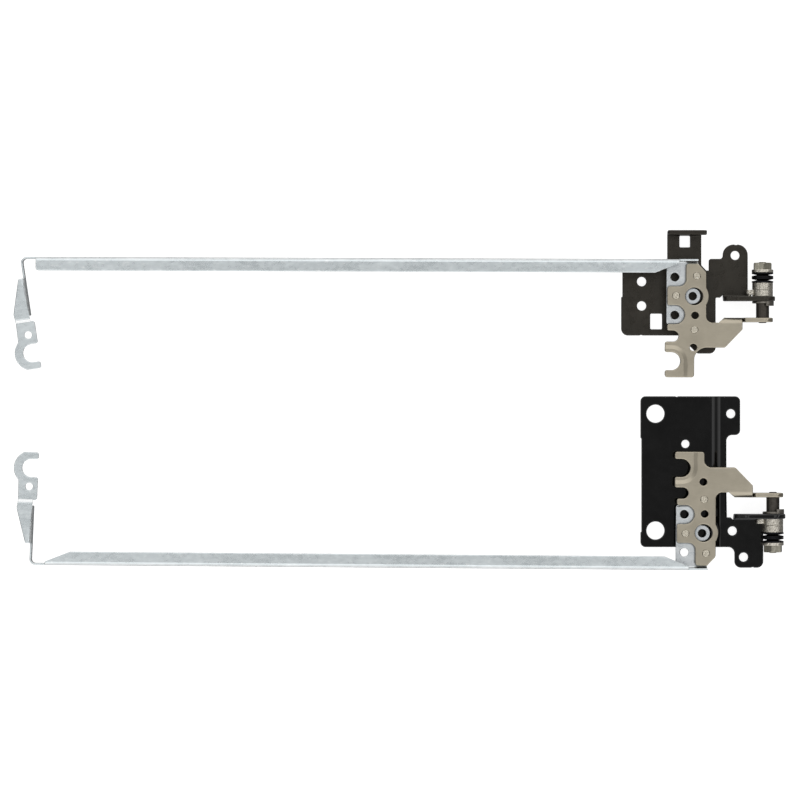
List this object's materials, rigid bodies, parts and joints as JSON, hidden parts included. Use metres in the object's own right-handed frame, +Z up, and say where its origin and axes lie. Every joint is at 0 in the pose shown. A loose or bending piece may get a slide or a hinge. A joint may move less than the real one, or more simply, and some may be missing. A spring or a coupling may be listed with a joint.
{
  "type": "laptop hinge pair",
  "caption": "Left and right friction hinges of a laptop lid: stamped base brackets, bent lid arms on keyed shafts with cams and disc springs, and long screen rails with hooked ends.",
  "frame": {"origin": "centre of the pair's plan at the underside of the base brackets", "axes": "+X along the rails towards the shafts, +Y from the right hinge to the left hinge, +Z up from the base brackets to the lid"},
  "size_m": [0.2464, 0.1086, 0.0116],
  "materials": {
    "left_bracket_black": "satin brownish black coating",
    "right_bracket_black": "satin black coating",
    "nickel_arm": "satin nickel plating",
    "zinc_rail": "galvanised, faintly mottled",
    "dark_shaft": "oiled dark steel",
    "sintered_cam": "grainy sintered steel",
    "black_spring": "blackened, oiled",
    "bright_washer": "bright ground steel",
    "nut_steel": "nickel plating"
  },
  "bodies": {
    "base": {"left_base_bracket": "left_bracket_black", "left_fixed_cam": "sintered_cam", "right_base_bracket": "right_bracket_black", "right_fixed_cam": "sintered_cam"},
    "left_lid": {"left_lid_arm": "nickel_arm", "left_screen_rail": "zinc_rail", "left_hinge_shaft": "dark_shaft", "left_stop_washer": "dark_shaft", "left_moving_cam": "sintered_cam", "left_spring_washer_1": "black_spring", "left_spring_washer_2": "black_spring", "left_spring_washer_3": "black_spring", "left_spring_washer_4": "black_spring", "left_end_washer": "bright_washer", "left_lock_nut": "nut_steel"},
    "right_lid": {"right_lid_arm": "nickel_arm", "right_screen_rail": "zinc_rail", "right_hinge_shaft": "dark_shaft", "right_stop_washer": "dark_shaft", "right_moving_cam": "sintered_cam", "right_spring_washer_1": "black_spring", "right_spring_washer_2": "black_spring", "right_spring_washer_3": "black_spring", "right_spring_washer_4": "black_spring", "right_end_washer": "bright_washer", "right_lock_nut": "nut_steel"}
  },
  "joints": [
    {"name": "left_lid_hinge", "type": "hinge", "parent": "base", "child": "left_lid", "pos_m": [0.1159, 0.02553, 0.0052], "axis": [0, 1, 0], "range_deg": [0, 135]},
    {"name": "right_lid_hinge", "type": "hinge", "parent": "base", "child": "right_lid", "pos_m": [0.1192, -0.03047, 0.0052], "axis": [0, 1, 0], "range_deg": [0, 135]}
  ]
}
